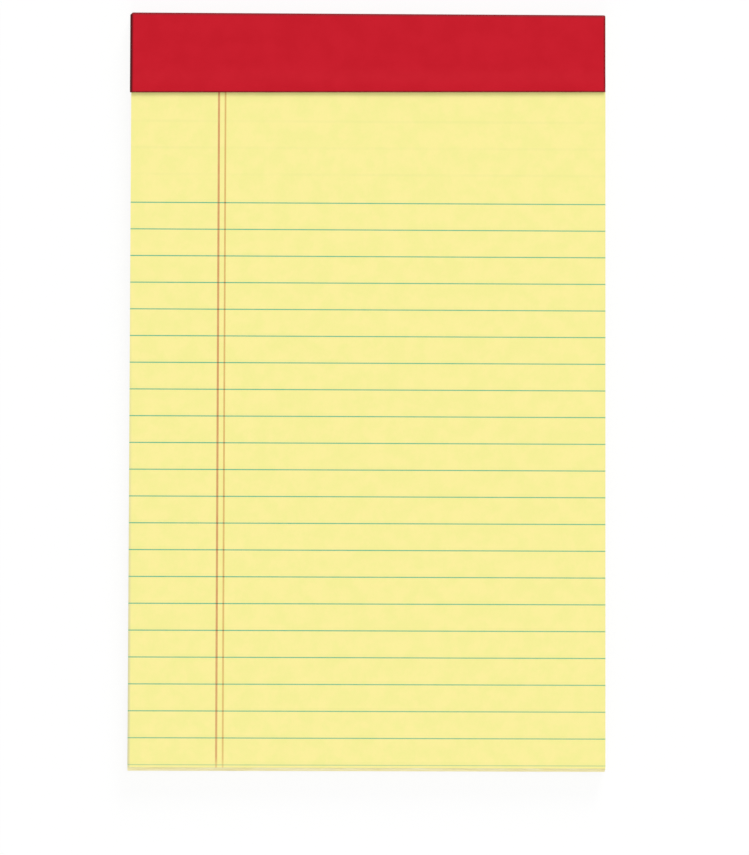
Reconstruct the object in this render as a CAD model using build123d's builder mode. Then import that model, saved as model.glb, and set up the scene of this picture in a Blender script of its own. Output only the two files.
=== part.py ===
"""Junior legal pad: ruled sheets on a chipboard back, wire stitched and taped at the head.

The pad lies on its back. +X runs across it to the right, +Y towards the bound head and +Z up
through the sheets. The origin is the middle of the pad's outline, on the plane it lies on.
All sizes are in millimetres.
"""

from build123d import *
import os

# Sheets
sheet_width = 127.0
sheet_length = 201.6
sheet_count = 50
sheet_thickness = 0.085
foot_spread = 0.8  # the bottom sheet's foot lies this far beyond the top sheet's

# Chipboard back
board_thickness = 0.7
board_setback = 0.4  # the board's foot stops this far short of the bottom sheet's

# Binding tape
tape_thickness = 0.25
tape_front_left = 21.3  # depth of the front flap at its left end, from the outside of the head
tape_front_right = 20.5  # the free edge is a little out of square, so the right end is shallower
tape_rear = 19.5  # depth of the rear flap, from the outside of the head
front_fold_radius = 0.6  # inside of the tape's bend over the top sheet
rear_fold_radius = 0.3  # inside of the tape's bend under the board

# Wire stitches
wire_diameter = 0.5
wire_clearance = 0.05
wire_bend_radius = 0.6  # to the middle of the wire
crown_width = 12.7  # outside of one leg to outside of the other
clinch_length = 4.0  # from the leg's outside to the tip, bent inwards behind the board
stitch_spacing = 64.0  # middle of one stitch to middle of the other
stitch_depth = 10.0  # below the sheets' head edge

# Perforation, hidden under the tape's front flap
perforation_depth = 19.8  # below the sheets' head edge
perforation_pitch = 1.6
slit_length = 1.1
slit_width = 0.1

# Heights, from the plane the pad lies on
board_bottom = tape_thickness
board_top = board_bottom + board_thickness
sheets_top = board_top + sheet_count * sheet_thickness

# Places along the pad, with the outline's middle at zero
overall_length = sheet_length + foot_spread + tape_thickness
head_outside = overall_length / 2
head_edge = head_outside - tape_thickness
top_foot = head_edge - sheet_length
bottom_foot = top_foot - foot_spread
board_foot = bottom_foot + board_setback
tape_deepest = max(tape_front_left, tape_front_right)
stitch_y = head_edge - stitch_depth
perforation_y = head_edge - perforation_depth
side = sheet_width / 2


def stitch_wire(diameter):
    """One clinched stitch, or the channel it lies in, centred on its own crown line."""
    leg = (crown_width - wire_diameter) / 2
    tip = leg + wire_diameter / 2 - clinch_length
    crown_height = sheets_top - wire_diameter / 2
    clinch_height = board_bottom + wire_diameter / 2
    with BuildPart() as wire:
        with BuildLine(Plane.XZ) as route:
            FilletPolyline(
                (-tip, clinch_height),
                (-leg, clinch_height),
                (-leg, crown_height),
                (leg, crown_height),
                (leg, clinch_height),
                (tip, clinch_height),
                radius=wire_bend_radius,
            )
        with BuildSketch(Plane(origin=route.line @ 0, z_dir=route.line % 0)):
            Circle(diameter / 2)
        sweep(path=route.line)
    return wire.part


channel_width = wire_diameter + 2 * wire_clearance
groove_length = crown_width - 2 * wire_bend_radius
clinch_gap = crown_width - 2 * clinch_length - 2 * wire_clearance
wire_channel = stitch_wire(channel_width)
stitch_places = [(-stitch_spacing / 2, stitch_y, 0), (stitch_spacing / 2, stitch_y, 0)]

# All the sheets as one block, with a rounded front edge at the head and a foot that spreads
with BuildPart() as sheet_block:
    with BuildSketch(Plane.YZ):
        with BuildLine():
            Polyline(
                (top_foot, sheets_top),
                (head_edge, sheets_top),
                (head_edge, board_top),
                (bottom_foot, board_top),
                close=True,
            )
        make_face()
    extrude(amount=side, both=True)
    head_edges = sheet_block.edges().filter_by(Axis.X).group_by(Axis.Y)[-1]
    fillet(head_edges.sort_by(Axis.Z)[-1], radius=front_fold_radius)

    # a groove that lets each crown down level with the top sheet, then the wire's own way through
    with BuildSketch(Plane.XY.offset(sheets_top)):
        with Locations(*stitch_places):
            Rectangle(groove_length, channel_width)
    extrude(amount=-wire_diameter / 2, mode=Mode.SUBTRACT)
    with Locations(*stitch_places):
        add(wire_channel, mode=Mode.SUBTRACT)

    # the row of tear-off slits, through every sheet
    with BuildSketch(Plane.XY.offset(board_top)):
        with Locations((0, perforation_y)):
            with GridLocations(perforation_pitch, 0, int(sheet_width // perforation_pitch), 1):
                Rectangle(slit_length, slit_width)
    extrude(amount=sheets_top - board_top, mode=Mode.SUBTRACT)
sheet_block.part.label = "sheet_block"

# Chipboard back, its rear head edge eased for the tape
with BuildPart() as backing_board:
    with BuildSketch(Plane.YZ):
        with BuildLine():
            Polyline(
                (board_foot, board_top),
                (head_edge, board_top),
                (head_edge, board_bottom),
                (board_foot, board_bottom),
                close=True,
            )
        make_face()
    extrude(amount=side, both=True)
    head_edges = backing_board.edges().filter_by(Axis.X).group_by(Axis.Y)[-1]
    fillet(head_edges.sort_by(Axis.Z)[0], radius=rear_fold_radius)

    # grooves that let the clinched tips lie level with the board's rear face
    with BuildSketch(Plane.XY.offset(board_bottom)):
        with Locations(*stitch_places):
            Rectangle(groove_length, channel_width)
            Rectangle(clinch_gap, channel_width, mode=Mode.SUBTRACT)
    extrude(amount=wire_diameter / 2, mode=Mode.SUBTRACT)
    with Locations(*stitch_places):
        add(wire_channel, mode=Mode.SUBTRACT)
backing_board.part.label = "backing_board"

# Tape: one strip folded over the front, the head and the back
with BuildPart() as binding_tape:
    with BuildSketch(Plane.YZ):
        with BuildLine():
            FilletPolyline(
                (head_outside - tape_deepest, sheets_top),
                (head_edge, sheets_top),
                (head_edge, board_bottom),
                (head_outside - tape_rear, board_bottom),
                radius=(front_fold_radius, rear_fold_radius),
            )
            offset(amount=tape_thickness, side=Side.LEFT)
        make_face()
    extrude(amount=side, both=True)

    # the front flap's free edge runs a little out of square
    with BuildSketch(Plane.XY.offset(sheets_top)):
        with BuildLine():
            Polyline(
                (-side, head_outside - tape_front_left),
                (side, head_outside - tape_front_right),
                (side, head_outside - tape_deepest - tape_thickness),
                (-side, head_outside - tape_deepest - tape_thickness),
                close=True,
            )
        make_face()
    extrude(amount=tape_thickness, mode=Mode.SUBTRACT)
binding_tape.part.label = "binding_tape"

# Wire stitches through sheets and board, under the tape
with BuildPart() as staple_left:
    with Locations(stitch_places[0]):
        add(stitch_wire(wire_diameter))
staple_left.part.label = "staple_left"

with BuildPart() as staple_right:
    with Locations(stitch_places[1]):
        add(stitch_wire(wire_diameter))
staple_right.part.label = "staple_right"

os.makedirs("parts", exist_ok=True)
for piece in (sheet_block, backing_board, binding_tape, staple_left, staple_right):
    export_step(piece.part, f"parts/{piece.part.label}.step")
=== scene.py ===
"""Looks for the junior legal pad: ruled canary sheets, chipboard back and red head tape.

Every piece is built in metres in the frame's own coordinates: +X across the pad, +Y towards the
bound head and +Z up through the sheets.
"""

from __future__ import annotations

import logging
import math
import random
from dataclasses import dataclass, field
from enum import Enum, IntEnum
from typing import Callable, Sequence

import bpy
from mathutils import Euler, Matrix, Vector


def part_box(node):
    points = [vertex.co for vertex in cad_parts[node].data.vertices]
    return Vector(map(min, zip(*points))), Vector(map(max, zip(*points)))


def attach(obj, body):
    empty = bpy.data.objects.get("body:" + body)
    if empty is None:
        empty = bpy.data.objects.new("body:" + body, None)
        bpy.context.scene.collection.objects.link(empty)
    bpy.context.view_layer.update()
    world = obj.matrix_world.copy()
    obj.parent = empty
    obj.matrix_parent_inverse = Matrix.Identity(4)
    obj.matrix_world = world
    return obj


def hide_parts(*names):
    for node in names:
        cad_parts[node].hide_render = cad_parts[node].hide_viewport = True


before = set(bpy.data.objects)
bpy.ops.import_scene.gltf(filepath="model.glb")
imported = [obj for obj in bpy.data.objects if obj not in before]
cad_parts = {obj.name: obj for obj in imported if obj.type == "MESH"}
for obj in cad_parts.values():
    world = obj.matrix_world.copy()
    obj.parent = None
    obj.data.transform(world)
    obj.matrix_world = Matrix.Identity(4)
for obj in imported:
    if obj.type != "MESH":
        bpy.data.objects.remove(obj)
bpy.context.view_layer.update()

MM = 0.001
LOG = logging.getLogger("legal_pad")

Colour = tuple[float, float, float]
Point = tuple[float, float, float]
Spots = tuple[tuple[float, float], ...]
Station = tuple[float, float, float, float, float]


def shade(red: int, green: int, blue: int) -> Colour:
    """A display colour from 0 to 255, as linear light."""

    def linear(channel: int) -> float:
        """One channel as linear light."""
        value = channel / 255
        return value / 12.92 if value <= 0.04045 else ((value + 0.055) / 1.055) ** 2.4

    return linear(red), linear(green), linear(blue)


def smooth(value: float, low: float, high: float) -> float:
    """Eases from 0 at low to 1 at high."""
    share = min(1.0, max(0.0, (value - low) / (high - low)))
    return share * share * (3 - 2 * share)


def between(low: float, high: float, parts: int) -> list[float]:
    """Evenly spaced values from low to high, both included."""
    return [low + (high - low) * step / parts for step in range(parts + 1)]


class Slot(Enum):
    """The record's material slots."""

    PAPER = "canary_paper"
    RULE = "rule_ink"
    MARGIN = "margin_ink"
    BOARD = "chipboard"
    TAPE = "red_tape"
    WIRE = "stitch_wire"


# Shader writing


class Value:
    """A number that varies over a surface: a node's output socket with arithmetic."""

    def __init__(self, finish: "NodeFinish", socket: bpy.types.NodeSocket) -> None:
        """Wraps an output socket of one of the finish's nodes."""
        self.finish = finish
        self.socket = socket

    def math(self, operation: str, *others: "Value | float") -> "Value":
        """Puts this value through a Math node.

        Args:
            operation: the Math node's operation.
            others: its second and third inputs.

        Returns:
            The node's result.
        """
        inputs = {index: item for index, item in enumerate((self, *others))}
        return self.finish.node("ShaderNodeMath", {"operation": operation}, inputs)

    def reflected(self, operation: str, first: float) -> "Value":
        """Puts a plain number before this value in a Math node."""
        return self.finish.node("ShaderNodeMath", {"operation": operation}, {0: first, 1: self})

    def __add__(self, other: "Value | float") -> "Value":
        """This value plus another."""
        return self.math("ADD", other)

    def __sub__(self, other: "Value | float") -> "Value":
        """This value less another."""
        return self.math("SUBTRACT", other)

    def __mul__(self, other: "Value | float") -> "Value":
        """This value times another."""
        return self.math("MULTIPLY", other)

    def __truediv__(self, other: "Value | float") -> "Value":
        """This value divided by another."""
        return self.math("DIVIDE", other)

    def __radd__(self, other: float) -> "Value":
        """A number plus this value."""
        return self.reflected("ADD", other)

    def __rsub__(self, other: float) -> "Value":
        """A number less this value."""
        return self.reflected("SUBTRACT", other)

    def __rmul__(self, other: float) -> "Value":
        """A number times this value."""
        return self.reflected("MULTIPLY", other)

    def ramp(self, low: float, high: float, start: float = 0.0, end: float = 1.0) -> "Value":
        """Eases from start to end as this value goes from low to high."""
        return self.finish.node(
            "ShaderNodeMapRange",
            {"interpolation_type": "SMOOTHSTEP"},
            {"Value": self, "From Min": low, "From Max": high, "To Min": start, "To Max": end},
        )


class NodeFinish:
    """A node material with one Principled shader."""

    def __init__(self, name: str, roughness: float, **constants: float) -> None:
        """Makes the material.

        Args:
            name: the material's name.
            roughness: the shader's roughness where nothing changes it.
            constants: other values of the shader's own sockets, with _ for a space.
        """
        self.material = bpy.data.materials.new(name)
        self.material.use_nodes = True
        self.tree = self.material.node_tree
        self.shader = self.tree.nodes["Principled BSDF"]
        self.shader.inputs["Roughness"].default_value = roughness
        for socket, value in constants.items():
            self.shader.inputs[socket.replace("_", " ")].default_value = value
        coordinates = self.tree.nodes.new("ShaderNodeTexCoord")
        self.place = Value(self, coordinates.outputs["Object"])

    def node(
        self,
        kind: str,
        settings: dict[str, object] | None = None,
        inputs: dict[str | int, object] | None = None,
        output: str | int = 0,
    ) -> Value:
        """Adds one node.

        Args:
            kind: the node's type.
            settings: its properties, which are set first.
            inputs: a value or a link for each named or numbered socket.
            output: the socket to return.

        Returns:
            The chosen output.
        """
        made = self.tree.nodes.new(kind)
        for name, value in (settings or {}).items():
            setattr(made, name, value)
        for name, value in (inputs or {}).items():
            if isinstance(value, Value):
                self.tree.links.new(value.socket, made.inputs[name])
            else:
                made.inputs[name].default_value = value
        return Value(self, made.outputs[output])

    def axes(self) -> tuple[Value, Value, Value]:
        """The place on the surface as three numbers, in metres."""
        split = self.tree.nodes.new("ShaderNodeSeparateXYZ")
        self.tree.links.new(self.place.socket, split.inputs[0])
        return tuple(Value(self, socket) for socket in split.outputs)

    def noise(
        self, size: float, detail: float = 2.0, stretch: Point = (1, 1, 1), seed: float = 0.0
    ) -> Value:
        """Cloudy noise about size metres across, 0 to 1, drawn out along the stretched axes."""
        scaled = self.node(
            "ShaderNodeMapping",
            {},
            {"Vector": self.place, "Scale": tuple(1 / s for s in stretch), "Location": (seed,) * 3},
        )
        return self.node(
            "ShaderNodeTexNoise",
            {"noise_dimensions": "3D"},
            {"Vector": scaled, "Scale": 1 / size, "Detail": detail, "Roughness": 0.55},
        )

    def specks(self, size: float, stretch: Point = (1, 1, 1), seed: float = 0.0) -> Value:
        """Distance to the nearest of many scattered points, which are about size metres apart."""
        scaled = self.node(
            "ShaderNodeMapping",
            {},
            {"Vector": self.place, "Scale": tuple(1 / s for s in stretch), "Location": (seed,) * 3},
        )
        return self.node("ShaderNodeTexVoronoi", {}, {"Vector": scaled, "Scale": 1 / size})

    def blend(self, share: Value | float, low: Value | Colour, high: Value | Colour) -> Value:
        """Mixes two colours.

        Args:
            share: 0 gives low and 1 gives high.
            low: the first colour.
            high: the second colour.

        Returns:
            The mixed colour.
        """
        made = self.tree.nodes.new("ShaderNodeMix")
        made.data_type = "RGBA"
        for index, value in ((0, share), (6, low), (7, high)):
            if isinstance(value, Value):
                self.tree.links.new(value.socket, made.inputs[index])
            elif index:
                made.inputs[index].default_value = (*value, 1)
            else:
                made.inputs[index].default_value = value
        return Value(self, made.outputs[2])

    def wear(self, colour: Value, roughness: Value | None, height: Value, depth: float) -> None:
        """Links the shader.

        Args:
            colour: the base colour.
            roughness: the roughness, or None to keep the constant.
            height: the relief, 0 to 1.
            depth: how deep a relief of 1 is, in metres.
        """
        self.tree.links.new(colour.socket, self.shader.inputs["Base Color"])
        if roughness is not None:
            self.tree.links.new(roughness.socket, self.shader.inputs["Roughness"])
        bump = self.node(
            "ShaderNodeBump", {}, {"Strength": 1.0, "Distance": depth, "Height": height}
        )
        self.tree.links.new(bump.socket, self.shader.inputs["Normal"])


# Sizes from the frame


@dataclass(frozen=True)
class PadFrame:
    """The places that the looks hang on, read from the CAD nodes, and three of its named sizes."""

    side: float
    foot: float
    head: float
    head_outside: float
    board_low: float
    board_high: float
    sheets_high: float
    tape_high: float
    board_foot: float
    tape_front: float
    tape_rear: float = 19.5 * MM
    foot_spread: float = 0.8 * MM
    tape_thickness: float = 0.25 * MM

    @classmethod
    def read(cls) -> "PadFrame":
        """Reads the nodes' boxes."""
        sheets_low, sheets_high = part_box("sheet_block")
        board_low, board_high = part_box("backing_board")
        tape_low, tape_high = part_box("binding_tape")
        return cls(
            side=sheets_high.x,
            foot=sheets_low.y,
            head=sheets_high.y,
            head_outside=tape_high.y,
            board_low=board_low.z,
            board_high=board_high.z,
            sheets_high=sheets_high.z,
            tape_high=tape_high.z,
            board_foot=board_low.y,
            tape_front=tape_high.y - tape_low.y,
        )

    @property
    def top_foot(self) -> float:
        """Where the top sheet's foot edge lies."""
        return self.foot + self.foot_spread


@dataclass(frozen=True)
class Ruling:
    """The printed lines on a sheet."""

    first_below_head: float = 50.87 * MM
    pitch: float = 7.144 * MM
    count: int = 22
    line: float = 0.27 * MM
    margin_left: float = 23.49 * MM
    margin_left_width: float = 0.56 * MM
    margin_right: float = 25.23 * MM
    margin_right_width: float = 0.46 * MM
    reverse_shift: float = 0.50 * MM

    def rules(self, head: float) -> list[float]:
        """The middle of each rule, from the head down."""
        return [head - self.first_below_head - self.pitch * step for step in range(self.count)]

    def margins(self, left: float) -> list[tuple[float, float]]:
        """The middle and width of each margin line."""
        return [
            (left + self.margin_left, self.margin_left_width),
            (left + self.margin_right, self.margin_right_width),
        ]


# Finishes


@dataclass(frozen=True)
class CanaryPaper:
    """Uncoated canary bond, with its cloudy formation and the reverse side's rules showing."""

    pad: PadFrame
    ruling: Ruling
    green_tint: Colour = shade(246, 240, 151)
    warm_tint: Colour = shade(253, 241, 157)
    # The edge colours are paler than the sheet's face: painted light for the light that scatters into
    # the cut edges. Their layering is the paper's own.
    painted_lit_edge_pale: Colour = shade(255, 251, 222)
    painted_lit_edge_deep: Colour = shade(243, 234, 178)
    ghost_tint: Colour = shade(150, 190, 130)
    ghost_core: float = 0.15 * MM
    ghost_reach: float = 0.55 * MM
    ghost_strength: float = 0.045
    # Painted shade along the left edge, strongest at the foot, standing in for the shaded side of the
    # leaves there.
    painted_left_shade_tint: Colour = shade(214, 210, 166)
    painted_left_shade_core: float = 0.15 * MM
    painted_left_shade_reach: float = 0.85 * MM
    painted_left_shade_strength: float = 0.8
    painted_left_shade_below_head: float = 40 * MM
    cloud_size: float = 5 * MM
    grain_size: float = 0.9 * MM
    tooth_size: float = 0.35 * MM
    tooth_depth: float = 0.006 * MM
    edge_layer: float = 0.12 * MM
    edge_depth: float = 0.02 * MM

    def base(self, finish: NodeFinish) -> Value:
        """The sheet's colour before any ink."""
        cloud = finish.noise(self.cloud_size, 3.0).ramp(0.35, 0.65)
        grain = finish.noise(self.grain_size, 2.0, (1.0, 1.6, 1.0), 3.0).ramp(0.3, 0.7)
        paper = finish.blend(cloud * 0.75 + grain * 0.25, self.green_tint, self.warm_tint)
        across, along, _ = finish.axes()
        first = self.pad.head - self.ruling.first_below_head + self.ruling.reverse_shift
        phase = (along - first) / self.ruling.pitch + 0.5
        away = (phase.math("FRACT") - 0.5).math("ABSOLUTE") * self.ruling.pitch
        broken = finish.noise(6 * MM, 2.0, (3.0, 1.0, 1.0), 7.0).ramp(0.3, 0.6, 0.4, 1.0)
        ghost = away.ramp(self.ghost_core, self.ghost_reach, self.ghost_strength, 0.0) * broken
        paper = finish.blend(ghost, paper, self.ghost_tint)
        # Painted shade: darker within a millimetre of the left edge, from the foot up to 40 mm below
        # the head.
        painted_left_shade = (across + self.pad.side).ramp(self.painted_left_shade_core, self.painted_left_shade_reach, 1.0, 0.0)
        painted_left_shade_top = self.pad.head - self.painted_left_shade_below_head
        painted_left_shade = painted_left_shade * along.ramp(self.pad.foot, painted_left_shade_top, self.painted_left_shade_strength, 0.0)
        return finish.blend(painted_left_shade, paper, self.painted_left_shade_tint)

    def relief(self, finish: NodeFinish) -> Value:
        """The felt side's fine tooth."""
        return finish.noise(self.tooth_size, 3.0, (1.0, 1.5, 1.0), 11.0)

    def material(self) -> bpy.types.Material:
        """The bare sheet."""
        finish = NodeFinish("canary_paper", 0.86, Specular_IOR_Level=0.25)
        finish.wear(self.base(finish), None, self.relief(finish), self.tooth_depth)
        return finish.material

    def edge_material(self) -> bpy.types.Material:
        """The cut edges of the stack: layered, and painted paler than the face as painted light
        scattered into the edges.
        """
        finish = NodeFinish("canary_edge", 0.92, Specular_IOR_Level=0.15)
        layers = finish.noise(self.edge_layer, 2.0, (40.0, 40.0, 1.0), 5.0).ramp(0.3, 0.7)
        cloud = finish.noise(7 * MM, 2.0, (1.0, 1.0, 0.2)).ramp(0.3, 0.7)
        share = layers * 0.6 + cloud * 0.4
        colour = finish.blend(share, self.painted_lit_edge_deep, self.painted_lit_edge_pale)
        finish.wear(colour, None, layers, self.edge_depth)
        return finish.material


@dataclass(frozen=True)
class LineInk:
    """Offset ink on the sheet, a little broken along the line and weaker towards one corner."""

    name: str
    colour: Colour
    paper: CanaryPaper
    fade_right: float = 0.0
    fade_foot: float = 0.0
    fade_foot_reach: float = 50 * MM
    last_near: float = 0.5 * MM
    last_far: float = 3 * MM
    last_fade: float = 0.45
    broken_size: float = 1.3 * MM
    broken_least: float = 0.9

    def material(self) -> bpy.types.Material:
        """The inked strip."""
        finish = NodeFinish(self.name, 0.8, Specular_IOR_Level=0.25)
        across, along, _ = finish.axes()
        pad = self.paper.pad
        broken = finish.noise(self.broken_size, 3.0, (2.0, 2.0, 1.0), 17.0)
        broken = broken.ramp(0.25, 0.7, self.broken_least, 1.0)
        right = across.ramp(-pad.side, pad.side, 0.0, self.fade_right)
        foot = along.ramp(pad.foot + self.fade_foot_reach, pad.foot, 0.0, self.fade_foot)
        near, far = pad.top_foot + self.last_near, pad.top_foot + self.last_far
        last = along.ramp(near, far, self.last_fade, 0.0)
        share = broken * (1 - right) * (1 - foot) * (1 - last)
        colour = finish.blend(share, self.paper.base(finish), self.colour)
        finish.wear(colour, None, self.paper.relief(finish), self.paper.tooth_depth)
        return finish.material


@dataclass(frozen=True)
class PaintedShadeRim:
    """How painted shade darkens a finish towards a line: fully within the core, and not at all past the
    reach.
    """

    core: float
    reach: float
    strength: float

    def mask(self, distance: Value) -> Value:
        """How dark it is at a distance from the line."""
        return distance.ramp(self.core, self.reach, self.strength, 0.0)


@dataclass(frozen=True)
class CoatedRed:
    """Coated red binding paper, with painted shade along its left and right sides, over the head fold,
    at the front flap's free edge and on its cut edges.
    """

    pad: PadFrame
    overhang: float
    front_left: float
    front_right: float
    body: Colour = shade(196, 19, 37)
    light_body: Colour = shade(200, 22, 40)
    # dark is the painted shade colour that the rims below blend to.
    dark: Colour = shade(86, 20, 24)
    # The two cut colours are painted shade for the tape's narrow cut faces.
    painted_cut_shade_deep: Colour = shade(70, 18, 20)
    painted_cut_shade_pale: Colour = shade(112, 30, 32)
    left_shade_rim: PaintedShadeRim = PaintedShadeRim(0.4 * MM, 1.05 * MM, 1.0)
    right_shade_rim: PaintedShadeRim = PaintedShadeRim(0.2 * MM, 0.8 * MM, 0.72)
    fold_shade_rim: PaintedShadeRim = PaintedShadeRim(0.15 * MM, 1.1 * MM, 0.8)
    lip_shade_rim: PaintedShadeRim = PaintedShadeRim(0.2 * MM, 0.5 * MM, 0.75)
    fold_shade_depth: float = 1.8 * MM
    fold_shade_least: float = 0.15
    raggedness: float = 0.12 * MM
    grain_depth: float = 0.008 * MM
    cut_depth: float = 0.02 * MM

    def material(self) -> bpy.types.Material:
        """The outer face."""
        pad = self.pad
        finish = NodeFinish("red_tape", 0.5, Specular_IOR_Level=0.1)
        across, along, height = finish.axes()
        cloud = finish.noise(6 * MM, 3.0).ramp(0.3, 0.7)
        fibre = finish.noise(0.4 * MM, 2.0, (3.0, 1.0, 1.0), 2.0)
        colour = finish.blend(cloud, self.body, self.light_body)
        ragged = finish.noise(2.5 * MM, 3.0, seed=9.0) * self.raggedness
        # Painted shade: darker towards the left and right sides (more on the left, away from the key),
        # over the head fold and along the front flap's free edge.
        left = self.left_shade_rim.mask(across + pad.side + self.overhang + ragged)
        right = self.right_shade_rim.mask(pad.side - across + ragged)
        fold_shade = self.fold_shade_rim.mask(pad.head_outside - along + ragged)
        low = pad.sheets_high - self.fold_shade_depth
        fold_shade = fold_shade * height.ramp(low, pad.sheets_high, self.fold_shade_least, 1.0)
        slant = (self.front_left - self.front_right) / (2 * pad.side)
        past_lip = along - (across + pad.side) * slant - (pad.head_outside - self.front_left)
        lip = self.lip_shade_rim.mask(past_lip + ragged)
        painted_tape_shade = left.math("MAXIMUM", right).math("MAXIMUM", fold_shade).math("MAXIMUM", lip)
        colour = finish.blend(painted_tape_shade, colour, self.dark)
        finish.wear(colour, fibre.ramp(0.3, 0.7, 0.44, 0.56), fibre, self.grain_depth)
        return finish.material

    def cut_material(self) -> bpy.types.Material:
        """The tape's cut edges and inner face, in a dark red that is painted shade on the narrow cut
        faces.
        """
        finish = NodeFinish("red_tape_cut", 0.8, Specular_IOR_Level=0.15)
        fibre = finish.noise(0.3 * MM, 3.0)
        colour = finish.blend(fibre.ramp(0.3, 0.7), self.painted_cut_shade_deep, self.painted_cut_shade_pale)
        finish.wear(colour, None, fibre, self.cut_depth)
        return finish.material


@dataclass(frozen=True)
class Flecks:
    """Small scattered bits of another colour in the board."""

    tint: Colour
    spacing: float
    stretch: Point
    seed: float
    core: float
    reach: float
    strength: float

    def over(self, finish: NodeFinish, colour: Value) -> Value:
        """The colour with the flecks on it."""
        away = finish.specks(self.spacing, self.stretch, self.seed)
        return finish.blend(away.ramp(self.core, self.reach, self.strength, 0.0), colour, self.tint)


@dataclass(frozen=True)
class Chipboard:
    """Grey-brown recycled board with flecks and matted fibres."""

    name: str = "chipboard"
    dark: Colour = shade(150, 134, 112)
    light: Colour = shade(182, 167, 144)
    dark_flecks: Flecks = Flecks(shade(92, 80, 68), 2.6 * MM, (1.0, 2.2, 1.0), 8.0, 0.04, 0.13, 0.7)
    pale_flecks: Flecks = Flecks(shade(214, 204, 186), 3.8 * MM, (2.0, 1.0, 1.0), 21.0, 0.03, 0.11, 0.6)
    fibre_depth: float = 0.05 * MM

    def material(self) -> bpy.types.Material:
        """The board's faces and edges."""
        finish = NodeFinish(self.name, 0.9, Specular_IOR_Level=0.2)
        cloud = finish.noise(9 * MM, 4.0).ramp(0.3, 0.7)
        fibre = finish.noise(0.8 * MM, 4.0, (1.0, 3.5, 1.0), 4.0)
        colour = finish.blend(cloud * 0.4 + fibre * 0.6, self.dark, self.light)
        colour = self.pale_flecks.over(finish, self.dark_flecks.over(finish, colour))
        finish.wear(colour, None, fibre, self.fibre_depth)
        return finish.material


@dataclass(frozen=True)
class GalvanisedWire:
    """Drawn steel stitching wire."""

    name: str = "stitch_wire"
    dark: Colour = shade(168, 170, 174)
    light: Colour = shade(206, 207, 210)
    drawn_size: float = 0.15 * MM
    drawn_depth: float = 0.01 * MM

    def material(self) -> bpy.types.Material:
        """The wire's surface."""
        finish = NodeFinish(self.name, 0.35, Metallic=1.0)
        drawn = finish.noise(self.drawn_size, 3.0, (8.0, 1.0, 1.0))
        colour = finish.blend(drawn.ramp(0.3, 0.7), self.dark, self.light)
        finish.wear(colour, drawn.ramp(0.3, 0.7, 0.28, 0.45), drawn, self.drawn_depth)
        return finish.material


# Meshes


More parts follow.
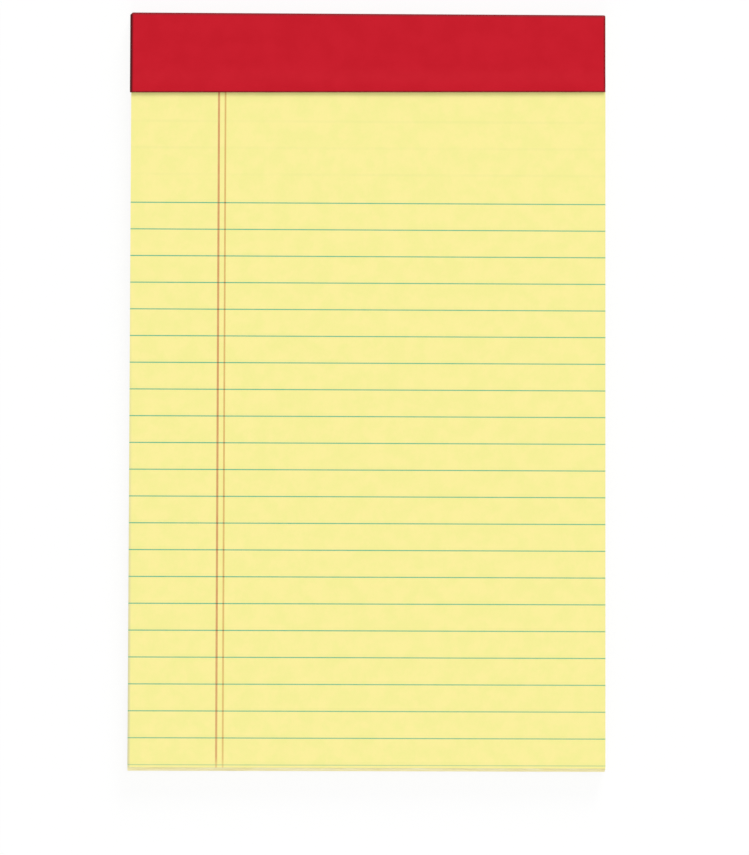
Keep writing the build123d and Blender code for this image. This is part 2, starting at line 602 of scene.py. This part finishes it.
class MeshDraft:
    """Points and faces on their way to becoming one piece."""

    SHARP = math.radians(35)

    def __init__(self) -> None:
        """Starts empty."""
        self.points: list[Point] = []
        self.faces: list[tuple[int, ...]] = []
        self.slots: list[int] = []
        self.flat: list[bool] = []
        self.unwrapped: list[Spots | None] = []

    def point(self, x: float, y: float, z: float) -> int:
        """Adds a point and returns its number."""
        self.points.append((x, y, z))
        return len(self.points) - 1

    def face(
        self,
        corners: Sequence[int],
        slot: int = 0,
        flat: bool = False,
        spots: Spots | None = None,
    ) -> None:
        """Adds a face.

        Args:
            corners: the numbers of its points.
            slot: its material slot.
            flat: whether it is flat shaded.
            spots: where its corners lie on the bake image, or None, which leaves the piece without a UV
                map.
        """
        self.unwrapped.append(spots)
        self.faces.append(tuple(corners))
        self.slots.append(slot)
        self.flat.append(flat)

    def piece(self, name: str, materials: Sequence[bpy.types.Material]) -> bpy.types.Object:
        """Makes the object.

        Args:
            name: the piece's name.
            materials: the material of each slot.

        Returns:
            The object, linked to the scene.
        """
        mesh = bpy.data.meshes.new(name)
        mesh.from_pydata(self.points, [], self.faces)
        for material in materials:
            mesh.materials.append(material)
        mesh.polygons.foreach_set("material_index", self.slots)
        mesh.polygons.foreach_set("use_smooth", [not flat for flat in self.flat])
        if self.faces and None not in self.unwrapped:
            layer = mesh.uv_layers.new(name="OFBake")
            shares = [share for spots in self.unwrapped for spot in spots for share in spot]
            layer.data.foreach_set("uv", shares)
        mesh.update()
        mesh.set_sharp_from_angle(angle=self.SHARP)
        piece = bpy.data.objects.new(name, mesh)
        bpy.context.scene.collection.objects.link(piece)
        return piece

    def slab(
        self,
        xs: Sequence[float],
        ys: Sequence[float],
        place: Callable[[float, float], Point],
        thickness: float,
        cell_slot: Callable[[int, int], int] = lambda i, j: 0,
        rim_slot: int = 0,
        sheet_map: "InkedSheetMap | None" = None,
    ) -> None:
        """Adds a closed sheet over a grid.

        Args:
            xs: the grid's lines across.
            ys: the grid's lines along.
            place: gives the upper surface's point for a grid crossing.
            thickness: how far the lower surface lies below.
            cell_slot: the material slot of the upper cell between lines i, i+1 and j, j+1.
            rim_slot: the material slot of the edges.
            sheet_map: lays the faces out on the bake image, or None to leave them unmapped.
        """
        upper, lower = [], []
        for x in xs:
            spots = [place(x, y) for y in ys]
            upper.append([self.point(*spot) for spot in spots])
            lower.append([self.point(a, b, c - thickness) for a, b, c in spots])
        self.shell(upper, lower, cell_slot, 0, rim_slot, sheet_map)

    def shell(
        self,
        upper: Sequence[Sequence[int]],
        lower: Sequence[Sequence[int]],
        cell_slot: Callable[[int, int], int],
        lower_slot: int,
        rim_slot: int,
        sheet_map: "InkedSheetMap | None" = None,
    ) -> None:
        """Closes two grids of points into a shell.

        Args:
            upper: the outer points, by grid line across and then along.
            lower: the inner points.
            cell_slot: the material slot of an outer cell.
            lower_slot: the material slot of the inner face.
            rim_slot: the material slot of the edges.
            sheet_map: lays the faces out on the bake image, or None to leave them unmapped.
        """
        last_i, last_j = len(upper) - 1, len(upper[0]) - 1
        for i in range(last_i):
            for j in range(last_j):
                ring = (i, j), (i + 1, j), (i + 1, j + 1), (i, j + 1)
                above = sheet_map and sheet_map.upper(i, j)
                below = sheet_map and sheet_map.lower(i, j)[::-1]
                self.face([upper[a][b] for a, b in ring], cell_slot(i, j), spots=above)
                self.face([lower[a][b] for a, b in reversed(ring)], lower_slot, spots=below)
        sides = [((i, j), (i + 1, j), j > 0, i, last_i) for i in range(last_i) for j in (0, last_j)]
        sides += [((i, j), (i, j + 1), i == 0, j, last_j) for j in range(last_j) for i in (0, last_i)]
        for (a, b), (c, d), turned, step, steps in sides:
            rim = [lower[a][b], lower[c][d], upper[c][d], upper[a][b]]
            side = (2 if a == c else 0) + turned
            spots = sheet_map and sheet_map.rim(side, step / (steps + 1), (step + 1) / (steps + 1))
            if turned:
                rim, spots = rim[::-1], spots and spots[::-1]
            self.face(rim, rim_slot, True, spots)


def box_spots(left: float, low: float, right: float, high: float) -> Spots:
    """A box's corners on the bake image, anticlockwise from its lower left."""
    return (left, low), (right, low), (right, high), (left, high)


@dataclass
class InkedSheetMap:
    """Lays a ruled sheet out on its bake image, with the thin printed strips drawn wider.

    The bare paper keeps its shape and fills the image's left. The printed strips lie beside it, one
    above another, so that each has several rows of the image to itself. The lower face is smaller.
    """

    xs: Sequence[float]
    ys: Sequence[float]
    across: Sequence[int]
    along: Sequence[bool]
    sheet_right: float = 0.60
    sheet_top: float = 0.96
    strips_left: float = 0.63
    strips_right: float = 0.99
    strip: float = 0.008
    gap: float = 0.006
    start: float = 0.008
    lower_low: float = 0.46
    lower_high: float = 0.93
    rim_low: float = 0.40

    def shares(self, lines: Sequence[float], index: int) -> tuple[float, float]:
        """Where a cell begins and ends between the grid's first line and its last, 0 to 1."""
        whole = lines[-1] - lines[0]
        return (lines[index] - lines[0]) / whole, (lines[index + 1] - lines[0]) / whole

    def row(self, number: int) -> tuple[float, float]:
        """The lower and upper side of a strip's row."""
        low = self.start + number * (self.strip + self.gap)
        return low, low + self.strip

    def span(self, low: float, high: float) -> tuple[float, float]:
        """Two shares of a strip's length, as places along its row."""
        length = self.strips_right - self.strips_left
        return self.strips_left + length * low, self.strips_left + length * high

    def upper(self, i: int, j: int) -> Spots:
        """The corners of an upper cell."""
        x_low, x_high = self.shares(self.xs, i)
        y_low, y_high = self.shares(self.ys, j)
        if self.along[j]:
            low, high = self.row(2 + sum(self.along[:j]))
            left, right = self.span(x_low, x_high)
            return box_spots(left, low, right, high)
        if self.across[i]:
            low, high = self.row(self.across[i] - 1)
            left, right = self.span(y_low, y_high)
            return (left, low), (left, high), (right, high), (right, low)
        right, top = self.sheet_right - self.start, self.sheet_top - self.start
        return box_spots(
            self.start + right * x_low,
            self.start + top * y_low,
            self.start + right * x_high,
            self.start + top * y_high,
        )

    def lower(self, i: int, j: int) -> Spots:
        """The corners of a lower cell."""
        left, right = self.span(*self.shares(self.xs, i))
        y_low, y_high = self.shares(self.ys, j)
        height = self.lower_high - self.lower_low
        low, high = self.lower_low + height * y_low, self.lower_low + height * y_high
        return box_spots(left, low, right, high)

    def rim(self, side: int, low: float, high: float) -> Spots:
        """The corners of a piece of the edge, from one share of its side's length to another."""
        left, right = self.span(low, high)
        bottom = self.rim_low + side * (self.strip + self.gap)
        return box_spots(left, bottom, right, bottom + self.strip)


# Sub-assemblies


class SheetFace(IntEnum):
    """The top sheet's material slots."""

    PAPER = 0
    RULE = 1
    LEFT_MARGIN = 2
    RIGHT_MARGIN = 3
    CROSSING = 4
    CUT_EDGE = 5


@dataclass
class SheetStack:
    """The ruled top sheet and the leaves under it."""

    pad: PadFrame
    ruling: Ruling
    leaf: float = 0.085 * MM
    leaves: int = 50
    fold_radius: float = 0.6 * MM
    sway: float = 0.05 * MM
    jitter: float = 0.035 * MM
    lift: float = 0.12 * MM
    band: float = 0.9 * MM
    seed: int = 5
    rule_ink: Colour = shade(80, 180, 142)
    left_ink: Colour = shade(215, 158, 103)
    right_ink: Colour = shade(223, 184, 110)
    crossing_ink: Colour = shade(90, 112, 84)
    cell_across: float = 4.5 * MM
    cell_along: float = 2.4 * MM
    ripple: float = 0.02 * MM
    ripple_across: float = 70.0
    ripple_along: float = 45.0
    corner_share: float = 0.65
    spread_power: float = 0.45
    loosest: float = 0.3
    leaf_columns: int = 10
    leaf_rows: int = 15

    def head_setback(self, depth: float) -> float:
        """How far a leaf stops short of the head at a depth below the top, under the fold."""
        if depth >= self.fold_radius:
            return 0.0
        return self.fold_radius - math.sqrt(self.fold_radius**2 - (self.fold_radius - depth) ** 2)

    def grid_lines(
        self, low: float, high: float, strips: list[tuple[float, float]], step: float
    ) -> list[float]:
        """Grid lines that include both edges of each printed strip.

        Args:
            low: the first line.
            high: the last line.
            strips: the middle and width of each strip.
            step: how far apart the lines may be.

        Returns:
            The lines, in order.
        """
        stops = sorted({low, high, *(m + s * w / 2 for m, w in strips for s in (-1, 1))})
        lines = [stops[0]]
        for a, b in zip(stops, stops[1:]):
            lines += between(a, b, max(1, math.ceil((b - a) / step - 1e-6)))[1:]
        return lines

    def strips_at(self, lines: list[float], strips: list[tuple[float, float]]) -> list[int]:
        """For each cell between two grid lines, the number of the strip that it is in, or 0."""
        found = []
        for a, b in zip(lines, lines[1:]):
            inside = [abs((a + b) / 2 - middle) < width / 2 for middle, width in strips]
            found.append(inside.index(True) + 1 if any(inside) else 0)
        return found

    def top_sheet(self, paper: CanaryPaper) -> bpy.types.Object:
        """The top sheet, with its rules and margin lines as inked faces."""
        pad, ruling = self.pad, self.ruling
        head = pad.head - self.head_setback(self.leaf / 2)
        margins = ruling.margins(-pad.side)
        rules = [(y, ruling.line) for y in ruling.rules(pad.head)]
        xs = self.grid_lines(-pad.side, pad.side, margins, self.cell_across)
        ys = self.grid_lines(pad.top_foot, head, rules, self.cell_along)
        across = self.strips_at(xs, margins)
        along = [number > 0 for number in self.strips_at(ys, rules)]

        def ink(i: int, j: int) -> int:
            """The slot of an upper cell."""
            if along[j]:
                return SheetFace.CROSSING if across[i] else SheetFace.RULE
            return (SheetFace.PAPER, SheetFace.LEFT_MARGIN, SheetFace.RIGHT_MARGIN)[across[i]]

        def place(x: float, y: float) -> Point:
            """The sheet's upper surface, which lifts a little towards its free corners."""
            down = smooth(y, -0.2 * pad.head, pad.top_foot)
            wave = math.sin(x * self.ripple_across + 1.0) * math.sin(y * self.ripple_along)
            corner = 1 - self.corner_share + self.corner_share * (x / pad.side) ** 2
            curl = self.lift * down * down * corner
            return x, y, pad.sheets_high + curl + self.ripple * wave * down

        draft = MeshDraft()
        sheet_map = InkedSheetMap(xs, ys, across, along)
        draft.slab(xs, ys, place, self.leaf, ink, SheetFace.CUT_EDGE, sheet_map)
        rule = LineInk("rule_ink", self.rule_ink, paper, 0.08, 0.12)
        left = LineInk("margin_ink_left", self.left_ink, paper, 0.0, 0.12)
        right = LineInk("margin_ink_right", self.right_ink, paper, 0.0, 0.12)
        both = LineInk("crossing_ink", self.crossing_ink, paper, 0.1, 0.1)
        inks = [item.material() for item in (rule, left, right, both)]
        return draft.piece("top_sheet", [paper.material(), *inks, paper.edge_material()])

    def lower_leaves(self, paper: CanaryPaper) -> bpy.types.Object:
        """The leaves under the top sheet, which spread at the foot and sway a little."""
        pad = self.pad
        draw = random.Random(self.seed)
        draft = MeshDraft()
        xs = between(-pad.side, pad.side, self.leaf_columns)
        for number in range(1, self.leaves):
            depth = number * self.leaf
            share = number / (self.leaves - 1)
            head = pad.head - self.head_setback(depth)
            foot = pad.top_foot - pad.foot_spread * share**self.spread_power
            foot += draw.uniform(-1, 1) * self.jitter
            shift = draw.uniform(-1, 1) * self.jitter
            turn = draw.uniform(-1, 1) * self.jitter
            bow = draw.uniform(0, 0.5) * self.jitter
            squeeze = self.loosest * self.leaf * draw.random()

            def place(x: float, y: float) -> Point:
                """One leaf's upper surface, which sways to the left towards the foot."""
                down = (head - y) / (head - foot)
                aside = shift * down - self.sway * math.sin(share * math.pi * 0.8) * down**2
                skewed = y - turn * x / pad.side * down - bow * (x / pad.side) ** 2 * down
                return x + aside, skewed, pad.sheets_high - depth

            ys = [foot, *between(foot + self.band, head, self.leaf_rows)]
            # Each leaf's foot band takes the pale edge finish, so the steps at the foot carry its
            # painted light.
            draft.slab(xs, ys, place, self.leaf - squeeze, lambda i, j: int(j == 0), 1)
        return draft.piece("lower_leaves", [paper.material(), paper.edge_material()])


@dataclass
class BackBoard:
    """The chipboard back, with blunted edges and corners."""

    pad: PadFrame
    blunt: float = 0.09 * MM
    blunt_share: float = 0.3
    corner: float = 0.7 * MM
    corner_least: float = 0.8
    corner_most: float = 1.2
    head_corner_share: float = 0.3
    corner_steps: int = 6
    seed: int = 11

    def build(self) -> bpy.types.Object:
        """The board as one closed piece."""
        pad = self.pad
        draft = MeshDraft()
        outline = self.outline()
        part = self.blunt * self.blunt_share
        heights = [
            (pad.board_low, -self.blunt),
            (pad.board_low + part, -part),
            (pad.board_low + self.blunt, 0.0),
            (pad.board_high - self.blunt, 0.0),
            (pad.board_high - part, -part),
            (pad.board_high, -self.blunt),
        ]
        rings = [
            [draft.point(x + nx * inset, y + ny * inset, z) for x, y, nx, ny in outline]
            for z, inset in heights
        ]
        count = len(outline)
        for lower, upper in zip(rings, rings[1:]):
            for k in range(count):
                after = (k + 1) % count
                draft.face([lower[k], lower[after], upper[after], upper[k]])
        draft.face(rings[0][::-1], flat=True)
        draft.face(rings[-1], flat=True)
        return draft.piece("chipboard_back", [Chipboard().material()])

    def outline(self) -> list[tuple[float, float, float, float]]:
        """Points round the board, anticlockwise from above, each with its outward direction."""
        pad = self.pad
        draw = random.Random(self.seed)
        points = []
        corners = (
            (pad.side, pad.head, 0),
            (-pad.side, pad.head, 90),
            (-pad.side, pad.board_foot, 180),
            (pad.side, pad.board_foot, 270),
        )
        for x, y, start in corners:
            share = self.head_corner_share
            if y < 0:
                share = draw.uniform(self.corner_least, self.corner_most)
            radius = self.corner * share
            centre_x = x - math.copysign(radius, x)
            centre_y = y - math.copysign(radius, y)
            for turn in between(start, start + 90, self.corner_steps):
                angle = math.radians(turn)
                out_x, out_y = math.cos(angle), math.sin(angle)
                points.append((centre_x + radius * out_x, centre_y + radius * out_y, out_x, out_y))
        return points


@dataclass
class HeadTape:
    """The red tape, folded over the front, the head and the back."""

    pad: PadFrame
    front_left: float = 21.65 * MM
    front_right: float = 20.85 * MM
    overhang: float = 0.35 * MM
    right_inset: float = 0.03 * MM
    crush: float = 0.4 * MM
    crush_width: float = 0.55 * MM
    front_radius: float = 0.6 * MM
    rear_radius: float = 0.3 * MM
    lip_lift: float = 0.55 * MM
    lip_curl: float = 0.4
    swell_from: float = 0.66
    swell_to: float = 0.92
    thin_from: float = 0.985
    thinning: float = 0.28
    crown_bump: float = 0.05 * MM
    crown_half: float = 6.4 * MM
    crown_soft: float = 0.4 * MM
    crown_reach: float = 1.1 * MM
    stitch_half: float = 32.0 * MM
    stitch_below: float = 10.0 * MM
    flat_out: float = 0.99
    side_roll: float = 0.42 * MM
    roll_drop: float = 0.144 * MM
    fine_share: float = 0.25
    fine_stations: int = 11
    fine_power: float = 1.9
    flap_stations: int = 15
    front_steps: int = 8
    spine_steps: int = 6
    rear_steps: int = 6
    rear_flap_steps: int = 12
    side_band: float = 2.0 * MM
    side_steps: int = 9
    middle_steps: int = 96

    def arc(self, y: float, z: float, radius: float, start: float, steps: int) -> list[Station]:
        """Stations round a quarter turn, downwards from a start angle in degrees."""
        stations = []
        for turn in between(start, start - 90, steps):
            out_y, out_z = math.cos(math.radians(turn)), math.sin(math.radians(turn))
            stations.append((y + radius * out_y, z + radius * out_z, out_y, out_z, 0.0))
        return stations

    def path(self) -> list[Station]:
        """Stations along the tape's inner face, from the front's free edge to the rear's.

        Returns:
            For each station y, z, the outward direction's y and z, and the share of the way
            from the fold to the front's free edge, which is 0 past the fold.
        """
        pad = self.pad
        top, bottom, head = pad.sheets_high, pad.board_low, pad.head
        front, rear = self.front_radius, self.rear_radius
        fold = head - front
        flap = pad.tape_front - pad.tape_thickness - front
        fine = [(step / self.fine_stations) ** self.fine_power for step in range(self.fine_stations)]
        shares = [1 - self.fine_share * part for part in fine]
        shares += between(1 - self.fine_share, 0, self.flap_stations)[:-1]
        stations = [(fold - flap * share, top, 0.0, 1.0, share) for share in shares]
        stations += self.arc(fold, top - front, front, 90, self.front_steps)
        spine = between(top - front, bottom + rear, self.spine_steps)[1:-1]
        stations += [(head, z, 1.0, 0.0, 0.0) for z in spine]
        stations += self.arc(head - rear, bottom + rear, rear, 0, self.rear_steps)
        rear_flap = between(head - rear, pad.head_outside - pad.tape_rear, self.rear_flap_steps)[1:]
        stations += [(y, bottom, 0.0, -1.0, 0.0) for y in rear_flap]
        return stations

    def columns(self) -> list[float]:
        """Places across the tape, closer together at its cut sides."""
        side = self.pad.side
        fine = [self.side_band * share**2 for share in between(0, 1, self.side_steps)]
        left = [-side + away for away in fine]
        left[0] -= self.overhang
        left.insert(1, -side - 0.5 * self.overhang)
        inside = side - self.side_band
        middle = between(-inside, inside, self.middle_steps)[1:-1]
        right = [side - away for away in reversed(fine)]
        right[-1] -= self.right_inset
        return left + middle + right

    def rise(self, x: float, share: float) -> float:
        """How far the front flap's inner face stands off the sheets.

        Args:
            x: the place across.
            share: 0 at the fold and 1 at the free edge.

        Returns:
            The height, in metres.
        """
        swell = smooth(share, self.swell_from, self.swell_to)
        swell *= 1 - self.lip_curl * smooth(share, self.swell_to, 1.0)
        wander = 1 + 0.08 * math.sin(x * 61 + 0.6) + 0.04 * math.sin(x * 173)
        return self.lip_lift * swell * wander

    def bump(self, x: float, y: float) -> float:
        """The faint swelling over each stitch's crown."""
        off_line = abs(y - (self.pad.head - self.stitch_below))
        off_crown = max(0.0, abs(abs(x) - self.stitch_half) - self.crown_half + self.crown_soft)
        away = math.hypot(off_line, off_crown)
        return self.crown_bump * (1 - smooth(away, 0, self.crown_reach))

    def free_edge(self, x: float) -> float:
        """How deep the front flap is at a place across."""
        share = (x + self.pad.side) / (2 * self.pad.side)
        return self.front_left + (self.front_right - self.front_left) * share

    def build(self) -> bpy.types.Object:
        """The tape as one closed shell."""
        pad = self.pad
        finish = CoatedRed(pad, self.overhang, self.front_left, self.front_right)
        draft = MeshDraft()
        stations, columns = self.path(), self.columns()
        outer, inner = [], []
        for x in columns:
            roll = 1 - smooth(pad.side - abs(x), 0, self.side_roll)
            trim = pad.tape_front - self.free_edge(x)
            from_left = x + pad.side + self.overhang
            crush = self.crush * (1 - smooth(from_left, 0, self.crush_width))
            inside, outside = [], []
            for y, z, out_y, out_z, share in stations:
                shifted = y + trim * share
                shifted -= crush * smooth(y, pad.head - self.front_radius, pad.head)
                low = self.rise(x, share)
                thin = self.thinning * smooth(share, self.thin_from, 1.0)
                high = low + pad.tape_thickness * (1 - thin) - self.roll_drop * roll
                if out_z > self.flat_out:
                    high += self.bump(x, y)
                inside.append(draft.point(x, shifted + out_y * low, z + out_z * low))
                outside.append(draft.point(x, shifted + out_y * high, z + out_z * high))
            inner.append(inside)
            outer.append(outside)
        draft.shell(outer, inner, lambda i, j: 0, 1, 1)
        return draft.piece("head_tape", [finish.material(), finish.cut_material()])


# Stage


@dataclass(frozen=True)
class Studio:
    """A plain white floor, soft light from the head end and the camera above the pad."""

    fill: float = 0.63
    key_power: float = 126.0
    key_from: Point = (1.1, 4.1, 2.1)
    key_size: float = 2.1
    bounce_power: float = 46.0
    bounce_from: Point = (-0.2, -3.0, 0.9)
    bounce_size: float = 1.6
    floor_size: float = 30.0
    floor_glow: float = 0.86
    floor_white: float = 0.9
    glow_level: float = 1.02
    distance: float = 1.6
    tilt: Point = (3.839, -1.432, 0.155)
    aim: Point = (1.96 * MM, -9.49 * MM, 0.0)
    lens: float = 251.74

    def camera(self) -> None:
        """Sets the camera."""
        camera = bpy.data.objects.new("camera", bpy.data.cameras.new("camera"))
        turn = Euler([math.radians(angle) for angle in self.tilt], "XYZ")
        camera.rotation_euler = turn
        camera.location = turn.to_matrix() @ Vector((0, 0, self.distance)) + Vector(self.aim)
        camera.data.lens = self.lens
        camera.data.sensor_width = 36
        camera.data.clip_start = 0.05
        camera.data.clip_end = 100
        bpy.context.scene.collection.objects.link(camera)
        bpy.context.scene.camera = camera

    def lamp(self, name: str, power: float, place: Point, size: float) -> None:
        """Hangs a round soft lamp that faces the pad.

        Args:
            name: the lamp's name.
            power: its power in watts.
            place: where it hangs.
            size: how wide it is.
        """
        lamp = bpy.data.lights.new(name, "AREA")
        lamp.shape = "DISK"
        lamp.size = size
        lamp.energy = power
        holder = bpy.data.objects.new(name, lamp)
        holder.location = place
        holder.rotation_euler = Vector(place).to_track_quat("Z", "Y").to_euler()
        bpy.context.scene.collection.objects.link(holder)

    def lamps(self) -> None:
        """Hangs the key at the head end and a weak bounce at the foot."""
        self.lamp("key", self.key_power, self.key_from, self.key_size)
        self.lamp("bounce", self.bounce_power, self.bounce_from, self.bounce_size)

    def seen_directly(self, tree: bpy.types.NodeTree) -> bpy.types.NodeSocket:
        """A socket that is 1 for camera, mirror and glass rays."""
        path = tree.nodes.new("ShaderNodeLightPath")
        total = path.outputs["Is Camera Ray"]
        for name in ("Is Glossy Ray", "Is Transmission Ray"):
            either = tree.nodes.new("ShaderNodeMath")
            either.operation = "MAXIMUM"
            tree.links.new(total, either.inputs[0])
            tree.links.new(path.outputs[name], either.inputs[1])
            total = either.outputs[0]
        return total

    def sky(self) -> None:
        """Fills the room with even light, and shows white where it is seen."""
        world = bpy.data.worlds.new("studio")
        world.use_nodes = True
        bpy.context.scene.world = world
        tree = world.node_tree
        fill = tree.nodes["Background"]
        fill.inputs["Color"].default_value = (1, 1, 1, 1)
        fill.inputs["Strength"].default_value = self.fill
        white = tree.nodes.new("ShaderNodeBackground")
        white.inputs["Color"].default_value = (1, 1, 1, 1)
        white.inputs["Strength"].default_value = 1.0
        mix = tree.nodes.new("ShaderNodeMixShader")
        tree.links.new(self.seen_directly(tree), mix.inputs[0])
        tree.links.new(fill.outputs[0], mix.inputs[1])
        tree.links.new(white.outputs[0], mix.inputs[2])
        tree.links.new(mix.outputs[0], tree.nodes["World Output"].inputs["Surface"])

    def floor(self) -> None:
        """Lays the floor, which glows a little to the eye so that it stays white."""
        half = self.floor_size / 2
        draft = MeshDraft()
        corners = ((-half, -half), (half, -half), (half, half), (-half, half))
        draft.face([draft.point(x, y, 0.0) for x, y in corners])
        material = bpy.data.materials.new("floor")
        material.use_nodes = True
        tree = material.node_tree
        matte = tree.nodes["Principled BSDF"]
        matte.inputs["Base Color"].default_value = (*[self.floor_white] * 3, 1)
        matte.inputs["Roughness"].default_value = 1.0
        matte.inputs["Specular IOR Level"].default_value = 0.0
        glow = tree.nodes.new("ShaderNodeEmission")
        glow.inputs["Color"].default_value = (1, 1, 1, 1)
        glow.inputs["Strength"].default_value = self.glow_level
        share = tree.nodes.new("ShaderNodeMath")
        share.operation = "MULTIPLY"
        share.inputs[1].default_value = self.floor_glow
        tree.links.new(self.seen_directly(tree), share.inputs[0])
        mix = tree.nodes.new("ShaderNodeMixShader")
        tree.links.new(share.outputs[0], mix.inputs[0])
        tree.links.new(matte.outputs[0], mix.inputs[1])
        tree.links.new(glow.outputs[0], mix.inputs[2])
        tree.links.new(mix.outputs[0], tree.nodes["Material Output"].inputs["Surface"])
        floor = draft.piece("floor", [material])


@dataclass
class LegalPad:
    """The whole pad."""

    pad: PadFrame
    ruling: Ruling
    pieces: list[bpy.types.Object] = field(default_factory=list)

    def keep(self, piece: bpy.types.Object, slot: Slot, *nodes: str) -> None:
        """Rides a piece on the pad's body and hides the CAD nodes it stands for."""
        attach(piece, "root")
        if nodes:
            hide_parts(*nodes)
        self.pieces.append(piece)

    def build(self) -> None:
        """Builds and dresses every piece."""
        paper = CanaryPaper(self.pad, self.ruling)
        stack = SheetStack(self.pad, self.ruling)
        self.keep(stack.top_sheet(paper), Slot.PAPER, "sheet_block")
        self.keep(stack.lower_leaves(paper), Slot.PAPER, "sheet_block")
        self.keep(BackBoard(self.pad).build(), Slot.BOARD, "backing_board")
        self.keep(HeadTape(self.pad).build(), Slot.TAPE, "binding_tape")
        wire = GalvanisedWire().material()
        for name in ("staple_left", "staple_right"):
            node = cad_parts[name]
            node.data.materials.clear()
            node.data.materials.append(wire)


def main() -> None:
    """Builds the pad and its stage, and reports each piece."""
    logging.basicConfig(level=logging.INFO, format="%(name)s: %(message)s")
    scene = bpy.context.scene
    scene.view_settings.view_transform = "Standard"
    whole = LegalPad(PadFrame.read(), Ruling())
    whole.build()
    for piece in whole.pieces:
        LOG.info("%s: %d faces", piece.name, len(piece.data.polygons))
    studio = Studio()
    studio.floor()
    studio.sky()
    studio.lamps()
    studio.camera()


if __name__ == "__main__":
    main()
